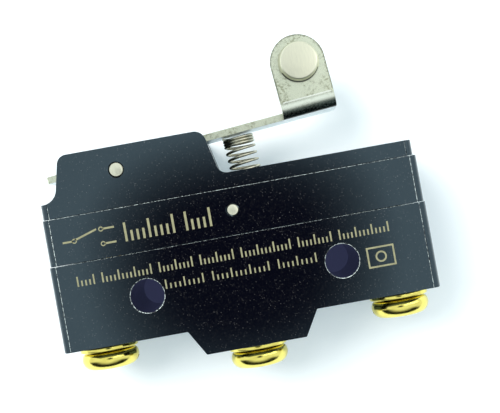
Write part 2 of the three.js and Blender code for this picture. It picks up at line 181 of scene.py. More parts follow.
def arc(centre, radius, first, last, steps):
    """Points on an arc between two angles in degrees."""
    angles = [math.radians(first + (last - first) * k / steps) for k in range(steps + 1)]
    return [(centre[0] + radius * math.cos(a), centre[1] + radius * math.sin(a)) for a in angles]


def rectangle(left, right, low, high):
    return [(left, low), (right, low), (right, high), (left, high)]


def prism(outline, low, high, axis="Z"):
    """An outline extruded along an axis. Its points are (x, y) for Z, (x, z) for Y and (z, y) for X."""
    place = {
        "Z": lambda a, b, c: (a, b, c),
        "Y": lambda a, b, c: (a, c, b),
        "X": lambda a, b, c: (c, b, a),
    }[axis]
    count = len(outline)
    points = [place(a, b, c) for c in (low, high) for a, b in outline]
    sides = [(i, (i + 1) % count, count + (i + 1) % count, count + i) for i in range(count)]
    faces = [tuple(range(count))[::-1], tuple(range(count, 2 * count)), *sides]
    return outward(from_faces("prism", points, faces))


def block(x, y, z):
    return prism(rectangle(x[0], x[1], y[0], y[1]), z[0], z[1])


def turned(profile, centre, axis="Z", steps=64):
    """A closed solid turned from (radius, height) points about an axis through centre."""
    place = {
        "Z": lambda c, s, h: (centre[0] + c, centre[1] + s, centre[2] + h),
        "Y": lambda c, s, h: (centre[0] + c, centre[1] + h, centre[2] + s),
    }[axis]
    points = []
    rings = []
    for radius, height in profile:
        if radius == 0:
            rings.append([len(points)])
            points.append(place(0, 0, height))
            continue
        rings.append(list(range(len(points), len(points) + steps)))
        for k in range(steps):
            angle = 2 * math.pi * k / steps
            points.append(place(radius * math.cos(angle), radius * math.sin(angle), height))
    faces = []
    pairs = list(zip(rings, rings[1:]))
    if len(rings[0]) > 1:
        pairs.append((rings[-1], rings[0]))
    for lower, upper in pairs:
        for k in range(steps):
            corners = [
                lower[k % len(lower)],
                lower[(k + 1) % len(lower)],
                upper[(k + 1) % len(upper)],
                upper[k % len(upper)],
            ]
            face = tuple(dict.fromkeys(corners))
            if len(face) > 2:
                faces.append(face)
    return outward(from_faces("turned", points, faces))


def rod(radius, centre, low, high, axis="Z", steps=64):
    """A plain cylinder. Its low and high are measured along the axis from the centre."""
    return turned([(0, low), (radius, low), (radius, high), (0, high)], centre, axis, steps)


def outward(obj):
    bm = bmesh.new()
    bm.from_mesh(obj.data)
    bmesh.ops.recalc_face_normals(bm, faces=bm.faces)
    bm.to_mesh(obj.data)
    bm.free()
    return obj


def applied(obj):
    """obj with its modifiers made part of its mesh."""
    bpy.context.view_layer.update()
    depsgraph = bpy.context.evaluated_depsgraph_get()
    mesh = bpy.data.meshes.new_from_object(obj.evaluated_get(depsgraph))
    old = obj.data
    obj.modifiers.clear()
    obj.data = mesh
    bpy.data.meshes.remove(old)
    return obj


def boolean(obj, operation, tools):
    for tool in tools:
        modifier = obj.modifiers.new(operation, "BOOLEAN")
        modifier.operation = operation
        modifier.object = tool
        modifier.solver = "EXACT"
    applied(obj)
    for tool in tools:
        mesh = tool.data
        bpy.data.objects.remove(tool)
        bpy.data.meshes.remove(mesh)
    return obj


def cut(obj, *tools):
    return boolean(obj, "DIFFERENCE", tools)


def join(obj, *others):
    return boolean(obj, "UNION", others)


def common(obj, *others):
    return boolean(obj, "INTERSECT", others)


def bevel(obj, width, segments=3, angle=35):
    modifier = obj.modifiers.new("bevel", "BEVEL")
    modifier.width = width
    modifier.segments = segments
    modifier.limit_method = "ANGLE"
    modifier.angle_limit = math.radians(angle)
    modifier.miter_outer = "MITER_ARC"
    return applied(obj)


def moulded(obj):
    """Gives a shape the two finishes of the mouldings: 0 is the skin and 1 the edges, partly worn and
    partly painted highlight.
    """
    obj.data.materials.clear()
    obj.data.materials.append(PHENOLIC)
    obj.data.materials.append(EDGE_WEAR_AND_HIGHLIGHT)
    return obj


def use_second_material(obj, test):
    """Gives the second finish to the faces whose centre and normal pass the test."""
    for polygon in obj.data.polygons:
        if test(polygon.center, polygon.normal):
            polygon.material_index = 1
    return obj


def piece(obj, name, body, material, slot, *nodes):
    """Finishes a piece: metres, smooth faces with flat ones kept flat, its material, body and CAD nodes."""
    obj.name = name
    obj.data.name = name
    obj.data.transform(Matrix.Scale(MM, 4))
    for polygon in obj.data.polygons:
        polygon.use_smooth = True
    obj.data.set_sharp_from_angle(angle=math.radians(42))
    weighted = obj.modifiers.new("weighted", "WEIGHTED_NORMAL")
    weighted.keep_sharp = True
    weighted.weight = 100
    applied(obj)
    if not obj.data.materials:
        obj.data.materials.append(material)
    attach(obj, body)
    if nodes:
        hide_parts(*nodes)
    return obj


# ---------------------------------------------------------------- materials


class Nodes:
    """A node tree, with short ways to add, link and calculate."""

    def __init__(self, tree):
        self.tree = tree

    def add(self, kind, **settings):
        node = self.tree.nodes.new(kind)
        for key, value in settings.items():
            setattr(node, key, value)
        return node

    def link(self, output, socket):
        self.tree.links.new(output, socket)

    def span(self, value, low, high, to_low=0.0, to_high=1.0, shape="LINEAR"):
        """The value's place between low and high, clamped, as a number from to_low to to_high."""
        node = self.add("ShaderNodeMapRange", interpolation_type=shape)
        node.inputs["From Min"].default_value = low
        node.inputs["From Max"].default_value = high
        node.inputs["To Min"].default_value = to_low
        node.inputs["To Max"].default_value = to_high
        self.link(value, node.inputs["Value"])
        return node.outputs["Result"]

    def math(self, operation, a, b=0):
        node = self.add("ShaderNodeMath", operation=operation)
        for socket, value in zip(node.inputs, (a, b)):
            if isinstance(value, (int, float)):
                socket.default_value = value
            else:
                self.link(value, socket)
        return node.outputs["Value"]

    def product(self, first, *others):
        for other in others:
            first = self.math("MULTIPLY", first, other)
        return first

    def blend(self, factor, first, second):
        """A colour between two, each given as numbers or as an output."""
        node = self.add("ShaderNodeMix", data_type="RGBA")
        self.link(factor, node.inputs["Factor"])
        for socket, value in ((node.inputs[6], first), (node.inputs[7], second)):
            if isinstance(value, tuple):
                socket.default_value = (*value, 1)
            else:
                self.link(value, socket)
        return node.outputs[2]


class Surface(Nodes):
    """A procedural material on one Principled shader, with its pattern space in millimetres."""

    def __init__(self, name, color, roughness, metallic=0.0):
        self.material = bpy.data.materials.new(name)
        self.material.use_nodes = True
        super().__init__(self.material.node_tree)
        self.shader = self.tree.nodes["Principled BSDF"]
        self.shader.inputs["Base Color"].default_value = (*color, 1)
        self.shader.inputs["Roughness"].default_value = roughness
        self.shader.inputs["Metallic"].default_value = metallic
        where = self.add("ShaderNodeTexCoord").outputs["Object"]
        self.space = self.add("ShaderNodeMapping")
        self.space.inputs["Scale"].default_value = (1 / MM, 1 / MM, 1 / MM)
        self.link(where, self.space.inputs["Vector"])

    def stretched(self, scale, turn=(0, 0, 0)):
        node = self.add("ShaderNodeMapping")
        node.inputs["Scale"].default_value = scale
        node.inputs["Rotation"].default_value = turn
        self.link(self.space.outputs["Vector"], node.inputs["Vector"])
        return node.outputs["Vector"]

    def noise(self, scale, detail=3.0, vector=None, rough=0.5):
        node = self.add("ShaderNodeTexNoise")
        node.inputs["Scale"].default_value = scale
        node.inputs["Detail"].default_value = detail
        node.inputs["Roughness"].default_value = rough
        self.link(vector or self.space.outputs["Vector"], node.inputs["Vector"])
        return node.outputs["Fac"]

    def spots(self, scale, vector=None):
        node = self.add("ShaderNodeTexVoronoi")
        node.inputs["Scale"].default_value = scale
        self.link(vector or self.space.outputs["Vector"], node.inputs["Vector"])
        return node.outputs["Distance"], node.outputs["Color"]

    def color(self, output):
        self.link(output, self.shader.inputs["Base Color"])

    def roughness(self, output):
        self.link(output, self.shader.inputs["Roughness"])

    def bump(self, height, distance, strength=1.0):
        node = self.add("ShaderNodeBump")
        node.inputs["Distance"].default_value = distance * MM
        node.inputs["Strength"].default_value = strength
        self.link(height, node.inputs["Height"])
        self.link(node.outputs["Normal"], self.shader.inputs["Normal"])


PHENOLIC_BLACK = (0.0009, 0.0009, 0.0030)
PHENOLIC_SHEEN = (0.60, 0.86, 1.0)


def phenolic():
    """Blue-black moulded phenolic, satin-glossy, with dust, a few scratches and a fine grain."""
    s = Surface("phenolic", PHENOLIC_BLACK, 0.2)
    s.shader.inputs["IOR"].default_value = 1.78
    s.shader.inputs["Specular Tint"].default_value = (*PHENOLIC_SHEEN, 1)
    distance, tone = s.spots(1.9)
    dust = s.product(s.span(distance, 0.14, 0.06), s.span(tone, 0.7, 1.0), 0.6)
    fine, fine_tone = s.spots(4.5)
    powder = s.product(s.span(fine, 0.34, 0.14), s.span(fine_tone, 0.55, 1.0), 0.22)
    grain = s.span(s.noise(5.0, 3, None, 0.8), 0.56, 0.70, 0.0, 0.03)
    specks = s.math("MAXIMUM", s.math("MAXIMUM", dust, powder), grain)
    for turn, size in ((0.5, 0.55), (-0.9, 0.42)):
        line, line_tone = s.spots(size, s.stretched((9, 0.8, 1), (0, 0, turn)))
        scratch = s.product(s.span(line, 0.12, 0.04), s.span(line_tone, 0.84, 0.92), 0.22)
        specks = s.math("MAXIMUM", specks, scratch)
    s.color(s.blend(specks, PHENOLIC_BLACK, (0.36, 0.35, 0.33)))
    s.roughness(s.span(s.noise(2.2, 5), 0.3, 0.7, 0.065, 0.09))
    s.bump(s.noise(2.4, 4, None, 0.6), 0.0009, 1.0)
    return s.material


def edge_wear_and_highlight():
    """The edges of the mouldings, partly rubbed and flashed and partly a painted highlight: pale in broken
    patches, black between.
    """
    # The pale colour is partly wear and flash, partly a painted highlight along the edges.
    s = Surface("phenolic_edge", PHENOLIC_BLACK, 0.45)
    broken = s.span(s.noise(3.4, 5, None, 0.7), 0.44, 0.56)
    s.color(s.blend(broken, (0.02, 0.02, 0.025), (0.66, 0.74, 0.72)))
    s.bump(s.noise(12.0, 3), 0.01, 0.5)
    return s.material


def brass(name, color, roughness):
    """Polished brass with faint tarnish and turning marks."""
    s = Surface(name, color, roughness, 1.0)
    tarnish = s.span(s.noise(0.9, 4), 0.45, 0.75)
    dull = tuple(c * k for c, k in zip(color, (0.72, 0.66, 0.5)))
    s.color(s.blend(s.product(tarnish, 0.45), color, dull))
    s.roughness(s.span(s.noise(3.0, 5), 0.3, 0.7, roughness * 0.7, roughness * 1.5))
    s.bump(s.noise(6.0, 3, s.stretched((1, 7, 1))), 0.006, 0.4)
    return s.material


def steel(name, color, roughness, grain, turn=0.0, finish=None):
    """Steel with a fine grain along one axis. A finish is a function that adds to its colour."""
    s = Surface(name, color, roughness, 1.0)
    lines = s.noise(9.0, 5, s.stretched(grain, (0, 0, turn)), 0.65)
    light = tuple(min(1.0, c * 1.12) for c in color)
    base = s.blend(s.span(lines, 0.3, 0.7), color, light)
    s.color(finish(s, base) if finish else base)
    s.roughness(s.span(lines, 0.25, 0.75, roughness * 0.75, roughness * 1.3))
    s.bump(lines, 0.004, 0.5)
    return s.material


def stained(s, base):
    """Faint olive stains in freckled patches."""
    patches = s.span(s.noise(0.6, 5, None, 0.62), 0.44, 0.56)
    freckles = s.span(s.noise(3.0, 4, None, 0.75), 0.46, 0.62)
    return s.blend(s.product(patches, freckles, 0.65), base, (0.15, 0.15, 0.06))


def lever_stains_and_painted_light(s, base):
    """Stains all over, then on the roller ear a dark band just inside its outline, a painted highlight band
    and a painted highlight line on the bend, and painted shade low on the bend.
    """
    base = stained(s, base)
    flat = s.add("ShaderNodeMapping", vector_type="TEXTURE")
    flat.inputs["Location"].default_value = (PIVOT[0], PIVOT[1], 0)
    flat.inputs["Rotation"].default_value = (0, 0, TILT)
    s.link(s.space.outputs["Vector"], flat.inputs["Vector"])
    axes = s.add("ShaderNodeSeparateXYZ")
    s.link(flat.outputs["Vector"], axes.inputs["Vector"])
    along, up, out = axes.outputs
    beside = s.math("SUBTRACT", along, EAR_ALONG)
    over = s.math("MAXIMUM", s.math("SUBTRACT", up, EAR_UP), 0)
    radius = s.math("SQRT", s.math("ADD", s.product(beside, beside), s.product(over, over)))
    on_ear = s.span(out, EAR_FRONT - EAR_BEND, EAR_FRONT - EAR_BEND + 0.1)
    ragged = s.span(s.noise(4.0, 4), 0.3, 0.7, -0.12, 0.12)
    flat_from = SHEET_LOW + EAR_BEND  # where the bend ends and the flat of the ear starts
    rim = s.span(s.math("ADD", radius, ragged), EAR_HALF - 0.24, EAR_HALF - 0.06)
    rim = s.product(rim, s.span(up, flat_from, flat_from + 0.6), on_ear, 0.75)
    base = s.blend(rim, base, (0.10, 0.11, 0.07))
    # A painted highlight band across the bend, between these heights.
    bright_band_low, bright_band_high = 1.7, 2.9
    rising = s.span(up, bright_band_low, bright_band_low + 0.4)
    falling = s.span(up, bright_band_high, bright_band_high - 0.3)
    base = s.blend(s.product(rising, falling, on_ear, 0.6), base, (0.92, 0.97, 0.86))
    # Painted shade: near-black low on the bend, standing in for the black body's reflection.
    painted_dark_bend = s.span(s.math("ADD", up, s.product(ragged, 2.5)), bright_band_low, bright_band_low - 0.5)
    base = s.blend(s.product(painted_dark_bend, on_ear, 0.93), base, (0.015, 0.018, 0.012))
    # A painted highlight line where the bend meets the flat of the ear.
    from_line = s.math("ABSOLUTE", s.math("SUBTRACT", up, flat_from - 0.05))
    painted_highlight_line = s.span(from_line, 0.12, 0.05)
    inside = s.span(radius, EAR_HALF - 0.28, EAR_HALF - 0.40)
    return s.blend(s.product(painted_highlight_line, inside, on_ear, 0.8), base, (0.95, 0.98, 0.90))


def plain(name, color, roughness, metallic=0.0):
    """A quiet material for the inner pieces: slight mottling and an uneven finish."""
    s = Surface(name, color, roughness, metallic)
    dark = tuple(c * 0.8 for c in color)
    s.color(s.blend(s.span(s.noise(1.5, 4), 0.35, 0.65), color, dark))
    s.roughness(s.span(s.noise(4.0, 4), 0.3, 0.7, roughness * 0.8, roughness * 1.25))
    s.bump(s.noise(8.0, 3), 0.003, 0.4)
    return s.material


PHENOLIC = phenolic()
EDGE_WEAR_AND_HIGHLIGHT = edge_wear_and_highlight()
BRASS = brass("screw_brass", (0.80, 0.70, 0.17), 0.12)
TERMINAL = brass("terminal_brass", (0.80, 0.60, 0.20), 0.22)
LEVER_STEEL = steel("lever_steel", (0.60, 0.63, 0.50), 0.3, (1, 9, 9), finish=lever_stains_and_painted_light)
# Pale bluish steel for the strip's underside: a painted reflection of the bright table.
LEVER_UNDERSIDE_REFLECTION = steel("lever_underside_painted_reflection", (0.80, 0.88, 0.90), 0.3, (1, 9, 9))
# Near-black, for painted shade on the lower side of the rivet's head.
RIVET_PAINTED_SHADE = plain("rivet_painted_shade", (0.012, 0.010, 0.008), 0.5)
PIN_STEEL = steel("pin_steel", (0.68, 0.67, 0.53), 0.36, (1, 0.12, 1), turn=0.9)
SPRING_STEEL = steel("spring_steel", (0.58, 0.56, 0.44), 0.24, (6, 6, 6))
ROLLER_STEEL = steel("roller_steel", (0.55, 0.55, 0.52), 0.36, (2, 2, 8))
COPPER = plain("blade_copper", (0.66, 0.36, 0.18), 0.3, 1.0)
SILVER = plain("contact_silver", (0.80, 0.79, 0.75), 0.28, 1.0)
PLUNGER = plain("plunger_phenolic", (0.035, 0.012, 0.008), 0.4)
INK = plain("pale_ink", (0.29, 0.28, 0.16), 0.6)

# ---------------------------------------------------------------- the three mouldings


def end_rounding(left, right):
    """A tall prism whose plan has a moulding's rounded upright corners, each behind a fine raised rim."""
    step = 0.06
    rim = 0.05
    r = END_ROUND
    quarter = [
        (right - r - rim, THICK),
        (right - r, THICK - step),
        *arc((right - r, THICK - r), r - step * 0.5, 84, 0, 10),
    ]
    quarter[-1] = (right, THICK - r)
    right_side = [(x, THICK - z) for x, z in reversed(quarter)]
    outline = quarter + right_side
    centre = (left + right) / 2
    outline += [(2 * centre - x, z) for x, z in reversed(outline)]
    below, above = -40, 60  # well past the moulding
    return prism(outline, below, above, "Y")


def is_end_rim(centre, left, right):
    """Whether a face is on the fine rim beside a rounded upright corner."""
    inset = min(centre.x - left, right - centre.x) - END_ROUND
    deep = min(centre.z, THICK - centre.z)
    return -0.01 < inset < 0.06 and deep < 0.07


def is_seam(centre, height):
    """Whether a face is on the bevel along a seam at that height, on the front or the back."""
    deep = min(centre.z, THICK - centre.z)
    return 0.0 < height - centre.y < 0.2 and 0.0 < deep < 0.09


def is_wall_edge(centre, normal):
    """Whether a face is on the inner half of the front bevel down either side of the raised walls."""
    sloped = abs(normal.x) > 0.15 and SLAB_TOP + 0.3 < centre.y < HOUSING_HIGH[1] - 0.4
    return sloped and 0.0 < THICK - centre.z < 0.09


def hole_profile(radius, chamfer):
    """The profile of a tool for a through hole with a 45 degree chamfer at each face."""
    over = 1.0
    wide = radius + chamfer + over
    return [
        (0, -over),
        (wide, -over),
        (radius, chamfer),
        (radius, THICK - chamfer),
        (wide, THICK + over),
        (0, THICK + over),
    ]


def mounting_hole(x):
    tool = moulded(turned(hole_profile(HOLE_RADIUS, HOLE_CHAMFER), (x, 0, 0), steps=96))
    near = HOLE_CHAMFER / 2
    # The half of each chamfer nearer the face gets the pale edge material: partly wear, partly a painted
    # highlight on the rim.
    return use_second_material(tool, lambda centre, normal: abs(normal.z) > 0.1 and min(centre.z, THICK - centre.z) < near)


def pin_hole(radius, x, y):
    return moulded(turned(hole_profile(radius, 0.06), (x, y, 0), steps=64))


def cross_pin_hole():
    return pin_hole(CROSS_HOLE_RADIUS, *CROSS_PIN)


def two_sides(x, y, near, far):
    """The same block at the back and at the front, its depths measured from each face."""
    return [block(x, y, (near, far)), block(x, y, (THICK - far, THICK - near))]


def base_shell():
    half_top = 8.43
    half_bottom = 6.5
    outline = rounded(
        [
            (BASE_LOW[0], SPLIT - SEAM, 0),
            (BASE_LOW[0], BASE_SEAT, 0.25),
            (-half_top, BASE_SEAT, 0.12),
            (-half_bottom, BLOCK_SEAT, 0.2),
            (half_bottom, BLOCK_SEAT, 0.2),
            (half_top, BASE_SEAT, 0.12),
            (BASE_HIGH[0], BASE_SEAT, 0.25),
            (BASE_HIGH[0], SPLIT - SEAM, 0),
        ],
        steps=3,
    )
    left, right = BASE_LOW[0], BASE_HIGH[0]
    shell = moulded(common(prism(outline, 0, THICK), end_rounding(left, right)))
    bevel(shell, MOULD_EDGE)
    # The seam bevel and the end rims get the pale edge material: partly wear and flash, partly painted
    # highlight.
    use_second_material(shell, lambda c, n: is_seam(c, SPLIT - SEAM) or is_end_rim(c, left, right))
    cavity = block((-CAVITY_HALF, CAVITY_HALF), (CAVITY_FLOOR, SPLIT + 1), (WALL, THICK - WALL))
    pocket_top = 1.6
    half_way = 1.5  # half the width of the square way from a pocket up into the cavity
    way = (MID - half_way, MID + half_way)
    pockets = []
    for x, seat in POLES.values():
        pockets.append(rod(3.3, (x, 0, MID), seat - 1, pocket_top, "Y"))
        pockets.append(block((x - half_way, x + half_way), (pocket_top - 0.1, CAVITY_FLOOR + 1), way))
    cut(shell, cavity, *pockets, mounting_hole(-HOLE_X), mounting_hole(HOLE_X))
    near = WALL + 0.1
    feet = two_sides((-LUG_HALF, LUG_HALF), (CAVITY_FLOOR - 0.3, SPLIT - 0.1), WALL - 0.3, near + LUG_THICK)
    tabs = two_sides((-LUG_HALF, LUG_HALF), (SPLIT - 0.5, COVER_ROOF - 0.3), near, near + LUG_THICK)
    join(shell, *feet, *tabs)
    return cut(shell, cross_pin_hole())


def cover_shell():
    outline = rectangle(COVER_LOW[0], COVER_HIGH[0], SPLIT + SEAM, COVER_TOP - SEAM)
    left, right = COVER_LOW[0], COVER_HIGH[0]
    shell = moulded(common(prism(outline, 0, THICK), end_rounding(left, right)))
    bevel(shell, MOULD_EDGE)
    # The seam bevel and the end rims get the pale edge material: partly wear and flash, partly painted
    # highlight.
    use_second_material(shell, lambda c, n: is_seam(c, COVER_TOP - SEAM) or is_end_rim(c, left, right))
    cavity = block((-CAVITY_HALF, CAVITY_HALF), (SPLIT - 1, COVER_ROOF), (WALL, THICK - WALL))
    guide = rod(PLUNGER_GUIDE, (PLUNGER_X, 0, MID), COVER_ROOF - 1, COVER_TOP + 1, "Y")
    near = WALL + 1.5
    half = LUG_HALF + 0.1
    slots = two_sides((-half, half), (COVER_ROOF - 1, COVER_TOP + 1), near, near + LUG_THICK + 0.2)
    return cut(shell, cavity, guide, *slots, cross_pin_hole())


def hinge_shell():
    left, right = HOUSING_LOW[0], HOUSING_HIGH[0]
    top = HOUSING_HIGH[1]
    foot_left, foot_right = -22.25, -0.78  # where the raised walls stand on the slab
    crest_left, crest_right = -20.95, -2.12  # where their sloped ends reach the top
    outline = rounded(
        [
            (left, COVER_TOP + SEAM, 0),
            (right, COVER_TOP + SEAM, 0),
            (right, SLAB_TOP, 0),
            (foot_right, SLAB_TOP, 1.25),
            (crest_right, top, 1.5),
            (crest_left, top, 1.3),
            (foot_left, SLAB_TOP, 2.0),
            (left, SLAB_TOP, 0),
        ],
        steps=10,
    )
    shell = moulded(prism(outline, 0, THICK))
    slot = block((left - 1, right + 1), (SLAB_TOP, top + 1), SLOT)
    cut(shell, slot)
    bevel(shell, MOULD_EDGE, angle=50)
    common(shell, end_rounding(left, right))
    # The end rims and the front bevel down the raised walls get the pale edge material: partly wear, partly
    # painted highlight.
    use_second_material(shell, lambda c, n: is_end_rim(c, left, right) or is_wall_edge(c, n))
    below = COVER_TOP - 1
    above = SLAB_TOP + 1
    well_radius = 2.45
    section = [
        (0, below),
        (well_radius, below),
        (well_radius, SLAB_TOP - 0.2),
        (well_radius + 1.2, above),
        (0, above),
    ]
    well = turned(section, (PLUNGER_X, 0, MID), "Y")
    pin_drop = 0.07
    cut(shell, well, pin_hole(PIVOT_HOLE_RADIUS, PIVOT[0], PIVOT[1] - pin_drop))
    near = WALL + 1.6
    lug_bottom = 7.6
    lugs = two_sides((-LUG_HALF, LUG_HALF), (lug_bottom, COVER_TOP + 0.5), near, near + LUG_THICK)
    stop_left = -21.2
    stop_right = -18.4
    clearance = 0.06
    slope = math.tan(TILT)
    over_pivot = PIVOT[1] + SHEET_LOW / math.cos(TILT)
    underside = [over_pivot + (x - PIVOT[0]) * slope for x in (stop_left, stop_right)]
    stop = prism(
        [
            (stop_left, SLAB_TOP - 0.5),
            (stop_right, SLAB_TOP - 0.5),
            (stop_right, underside[1] - clearance),
            (stop_left, underside[0] - clearance),
        ],
        SLOT[0] - 0.5,
        SLOT[1] + 0.5,
    )
    join(shell, *lugs, stop)
    return cut(shell, cross_pin_hole())


def mouldings():
    piece(base_shell(), "base_moulding", "housing", PHENOLIC, "phenolic", "base_case")
    piece(cover_shell(), "cover_moulding", "housing", PHENOLIC, "phenolic", "cover_case")
    piece(hinge_shell(), "hinge_moulding", "housing", PHENOLIC, "phenolic", "hinge_housing")


# ---------------------------------------------------------------- printed marks


def ink_bar(x, y, width, height):
    """The outline of one bar of ink, from its lower left corner."""
    return [(x, y), (x + width, y), (x + width, y + height), (x, y + height)]


def ink_line(start, end, width):
    along = (Vector(end) - Vector(start)).normalized() * (width / 2)
    side = Vector((-along.y, along.x))
    first, last = Vector(start), Vector(end)
    return [first - along - side, last + along - side, last + along + side, first - along + side]


def ink_ring(x, y, radius, width, steps=24):
    """The outlines of a ring of ink, in short pieces that meet without overlapping."""
    inner = arc((x, y), radius - width / 2, 0, 360, steps)
    outer = arc((x, y), radius + width / 2, 0, 360, steps)
    return [[inner[k], outer[k], outer[k + 1], inner[k + 1]] for k in range(steps)]


def ink_frame(left, right, low, high, width):
    """A rectangular outline of ink."""
    return [
        ink_bar(left, low, right - left, width),
        ink_bar(left, high - width, right - left, width),
        ink_bar(left, low + width, width, high - low - 2 * width),
        ink_bar(right - width, low + width, width, high - low - 2 * width),
    ]


def printed(outlines, name):
    """Flat ink shapes joined into one mesh, each a thin prism in the skin of the front face."""
    points = []
    faces = []
    for outline in outlines:
        count = len(outline)
        first = len(points)
        for z in (THICK - 0.01, THICK + INK_HEIGHT / 2):
            points += [(x, y, z) for x, y in outline]
        faces.append(tuple(range(first + count, first + 2 * count)))
        faces.append(tuple(range(first, first + count))[::-1])
        for k in range(count):
            after = (k + 1) % count
            faces.append((first + k, first + after, first + count + after, first + count + k))
    obj = from_faces(name, points, faces)
    obj.data.transform(Matrix.Scale(MM, 4))
    obj.data.materials.append(INK)
    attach(obj, "housing")
    return obj


def tick_row(left, right, low, height, stroke, groups):
    """A row of plain upright ticks in spaced groups, like a ruled scale, with every fourth one full."""
    gap = 2.2
    steps = sum(groups) - 1 + (gap - 1) * (len(groups) - 1)
    pitch = (right - left - stroke) / steps
    bars = []
    x = left
    for group in groups:
        for k in range(group):
            share = 1.0 if k % 4 == 0 else 0.55
            bars.append(ink_bar(x, low, stroke, height * share))
            x += pitch
        x += (gap - 1) * pitch
    return bars


def changeover_symbol(x, y):
    """A contact arm that can swing between two round contacts."""
    stroke = 0.24
    contact = 0.26
    arm = [
        ink_line((x, y + 1.25), (x + 1.1, y + 1.25), stroke),
        ink_line((x + 1.6, y + 1.4), (x + 4.3, y + 2.25), stroke),
    ]
    ends = [
        ink_line((x + 5.35, y + 2.2), (x + 6.6, y + 2.2), stroke),
        ink_line((x + 5.35, y + 0.3), (x + 6.6, y + 0.3), stroke),
    ]
    rings = []
    for across, up in ((1.4, 1.25), (5.0, 2.2), (5.0, 0.3)):
        rings += ink_ring(x + across, y + up, contact, 0.14, 12)
    return arm + ends + rings


def marks():
    scale = tick_row(-14.2, -2.9, 7.35, 2.45, 0.30, (9, 5))
    printed(changeover_symbol(-22.1, 7.3) + scale, "cover_marks")
    upper = tick_row(-21.3, 19.3, 2.7, 1.3, 0.2, (5, 13, 9, 9, 13, 9, 13))
    lower = tick_row(-10.2, 9.5, 0.45, 1.2, 0.19, (9, 13, 9))
    printed(upper + lower, "base_marks")
    left, right, low, high = 15.9, 19.5, -1.65, 1.05
    ring = ink_ring((left + right) / 2, (low + high) / 2, 0.62, 0.22)
    printed(ink_frame(left, right, low, high, 0.22) + ring, "side_mark")


# ---------------------------------------------------------------- pins


def pin(radius, x, y, inset):
    """A pin with slightly crowned ends, each a little below its face."""
    edge = 0.05
    crown = 0.05
    low = inset
    high = THICK - inset
    profile = [
        (0, low),
        (radius - edge, low + crown),
        (radius, low + edge + crown),
        (radius, high - edge - crown),
        (radius - edge, high - crown),
        (0, high),
    ]
    return bevel(turned(profile, (x, y, 0), steps=48), 0.03, 2, 20)


def pins():
    cross = pin(CROSS_PIN_RADIUS, *CROSS_PIN, 0.1)
    pivot = pin(PIVOT_PIN_RADIUS, PIVOT[0], PIVOT[1], 0.15)
    piece(cross, "cover_cross_pin", "housing", PIN_STEEL, "pin_steel", "cover_pin")
    piece(pivot, "lever_pivot_pin", "housing", PIN_STEEL, "pin_steel", "pivot_pin")


# ---------------------------------------------------------------- the lever


def lever_place(obj):
    """Turns a shape from the lever's own frame, with x along the lever, into the switch's."""
    move = Matrix.Translation((PIVOT[0], PIVOT[1], 0)) @ Matrix.Rotation(TILT, 4, "Z")
    obj.data.transform(move)
    return obj


def roller_ear():
    """The strip's end, widened at the front and turned up round the bend, with a round top."""
    centre = (EAR_FRONT - EAR_BEND, SHEET_LOW + EAR_BEND)
    top = EAR_UP + EAR_HALF + 1
    section = [
        (LEVER_BACK, SHEET_LOW),
        *arc(centre, EAR_BEND, -90, 0, 20),
        (EAR_FRONT, top),
        (EAR_FRONT - SHEET, top),
        *arc(centre, EAR_BEND - SHEET, 0, -90, 12),
        (LEVER_BACK, SHEET_HIGH),
    ]
    low = EAR_ALONG - EAR_HALF
    high = EAR_ALONG + EAR_HALF
    strip = prism(section, low, high, "X")
    hair = 0.001  # keeps the two shapes' side faces apart
    dome = arc((EAR_ALONG, EAR_UP), EAR_HALF, 0, 180, 48)
    return common(strip, prism([(low - hair, 0), (high + hair, 0), *dome], 0, THICK))


def hinge_ear(low):
    """One of the two ears that hang from the strip round the pivot pin."""
    top = SHEET_HIGH - 0.1
    outline = [(HINGE_EAR, top), *arc((0, 0), HINGE_EAR, 0, -180, 32), (-HINGE_EAR, top)]
    return prism(outline, low, low + SHEET)


def lever_shape():
    end = EAR_ALONG - EAR_HALF + 0.5
    corners = [
        (LEVER_TAIL, LEVER_BACK, 0.5),
        (end, LEVER_BACK, 0),
        (end, LEVER_FRONT, 0),
        (LEVER_TAIL, LEVER_FRONT, 0.5),
    ]
    strip = prism(rounded(corners), SHEET_LOW, SHEET_HIGH, "Y")
    lever = join(strip, roller_ear(), hinge_ear(LEVER_BACK), hinge_ear(LEVER_FRONT - SHEET))
    bevel(lever, 0.11, 3, 40)
    pivot_hole = rod(HINGE_EAR_BORE, (0, 0, 0), 0, THICK, steps=48)
    axle_hole = rod(AXLE_BORE, (AXLE_ALONG, AXLE_UP, 0), EAR_FRONT - 2, THICK, steps=48)
    return underside_painted_bright(lever_place(cut(lever, pivot_hole, axle_hole)))


def underside_painted_bright(lever):
    """The strip's underside gets a pale bluish colour, a painted reflection of the bright table below."""
    lever.data.materials.append(LEVER_STEEL)
    lever.data.materials.append(LEVER_UNDERSIDE_REFLECTION)
    return use_second_material(lever, lambda centre, normal: normal.y < -0.95 and centre.z < EAR_FRONT - EAR_BEND)


ROLLER_FRONT = EAR_FRONT - SHEET - 0.2
ROLLER_BACK = ROLLER_FRONT - 3.6


def roller_shape():
    front = ROLLER_FRONT
    back = ROLLER_BACK
    edge = 0.4
    radius = 3.4
    bore = AXLE_BORE
    lip = 0.15
    profile = [
        (bore, back + lip),
        (bore + lip, back),
        (radius - edge, back),
        (radius - edge * 0.3, back + edge * 0.3),
        (radius, back + edge),
        (radius, front - edge),
        (radius - edge * 0.3, front - edge * 0.3),
        (radius - edge, front),
        (bore + lip, front),
        (bore, front - lip),
    ]
    return turned(profile, (AXLE[0], AXLE[1], 0), steps=96)


